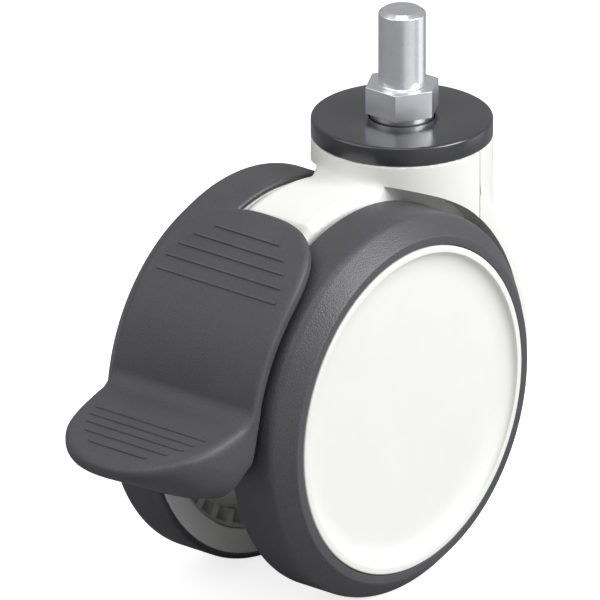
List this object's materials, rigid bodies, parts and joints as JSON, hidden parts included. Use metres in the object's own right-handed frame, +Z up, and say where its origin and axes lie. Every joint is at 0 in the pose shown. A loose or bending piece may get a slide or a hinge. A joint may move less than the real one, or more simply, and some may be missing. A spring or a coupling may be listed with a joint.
{
  "type": "twin-wheel chair caster",
  "caption": "Twin-wheel swivel caster with a plain mounting pin, a round dust cover, dished white wheel caps and a foot pedal that locks the wheels and the swivel.",
  "frame": {"origin": "on the swivel axis, on the top face of the hexagon that seats against the chair", "axes": "+Z up along the mounting pin; +X from the swivel axis to the wheels and the pedal; +Y along the axle to the left wheel"},
  "size_m": [0.141, 0.063, 0.1404],
  "materials": {
    "steel": "bright zinc plated, fine turned marks",
    "bearing_steel": "ground and hardened",
    "white_housing": "white nylon, satin gloss",
    "white_cap": "white plastic, satin gloss",
    "dust_cover": "anthracite plastic, semi gloss",
    "tread": "anthracite tread, fine moulded grain",
    "pedal_plastic": "anthracite nylon, fine spark grain",
    "core_plastic": "light grey nylon",
    "acetal": "natural acetal"
  },
  "bodies": {
    "stem": {"threaded_stem": "steel", "swivel_lock_crown": "steel", "stem_retaining_ring": "steel", "upper_bearing_inner_race": "bearing_steel", "lower_bearing_inner_race": "bearing_steel"},
    "housing": {"housing": "white_housing", "dust_cover": "dust_cover", "rear_fender": "white_housing", "upper_bearing_outer_race": "bearing_steel", "upper_bearing_ball_cage": "bearing_steel", "lower_bearing_outer_race": "bearing_steel", "lower_bearing_ball_cage": "bearing_steel", "detent_spring": "steel", "wheel_axle": "steel", "pedal_pivot_pin": "steel", "axle_spacer_left": "steel", "axle_spacer_right": "steel", "wheel_bearing_inner_race_left": "bearing_steel", "wheel_bearing_inner_race_right": "bearing_steel", "axle_retaining_ring_left": "steel", "axle_retaining_ring_right": "steel"},
    "pedal": {"pedal": "pedal_plastic", "pedal_cam": "steel", "cam_drive_pin": "steel"},
    "lock_bar": {"wheel_lock_bar": "steel"},
    "lock_slider": {"swivel_lock_slider": "acetal"},
    "wheel_left": {"tread_left": "tread", "wheel_core_left": "core_plastic", "brake_ring_left": "core_plastic", "wheel_cap_left": "white_cap", "wheel_bearing_outer_race_left": "bearing_steel", "wheel_bearing_ball_cage_left": "bearing_steel"},
    "wheel_right": {"tread_right": "tread", "wheel_core_right": "core_plastic", "brake_ring_right": "core_plastic", "wheel_cap_right": "white_cap", "wheel_bearing_outer_race_right": "bearing_steel", "wheel_bearing_ball_cage_right": "bearing_steel"}
  },
  "joints": [
    {"name": "swivel", "type": "hinge", "parent": "stem", "child": "housing", "pos_m": [0, 0, 0], "axis": [0, 0, 1], "continuous": true},
    {"name": "wheel_left_spin", "type": "hinge", "parent": "housing", "child": "wheel_left", "pos_m": [0.033, 0, -0.0704], "axis": [0, 1, 0], "continuous": true},
    {"name": "wheel_right_spin", "type": "hinge", "parent": "housing", "child": "wheel_right", "pos_m": [0.033, 0, -0.0704], "axis": [0, 1, 0], "continuous": true},
    {"name": "pedal_lock", "type": "hinge", "parent": "housing", "child": "pedal", "pos_m": [0.0696, 0, -0.0755], "axis": [0, 1, 0], "range_deg": [0, 18]},
    {"name": "lock_bar_slide", "type": "slide", "parent": "housing", "child": "lock_bar", "axis": [0.9397, 0, 0.342], "range_m": [0, 0.0053]},
    {"name": "lock_slider_slide", "type": "slide", "parent": "housing", "child": "lock_slider", "axis": [1, 0, 0], "range_m": [0, 0.003]}
  ],
  "couplings": [
    {"joint": "lock_bar_slide", "follows": "pedal_lock", "m_per_rad": 0.016552},
    {"joint": "lock_slider_slide", "follows": "pedal_lock", "m_per_rad": 0.009231}
  ]
}
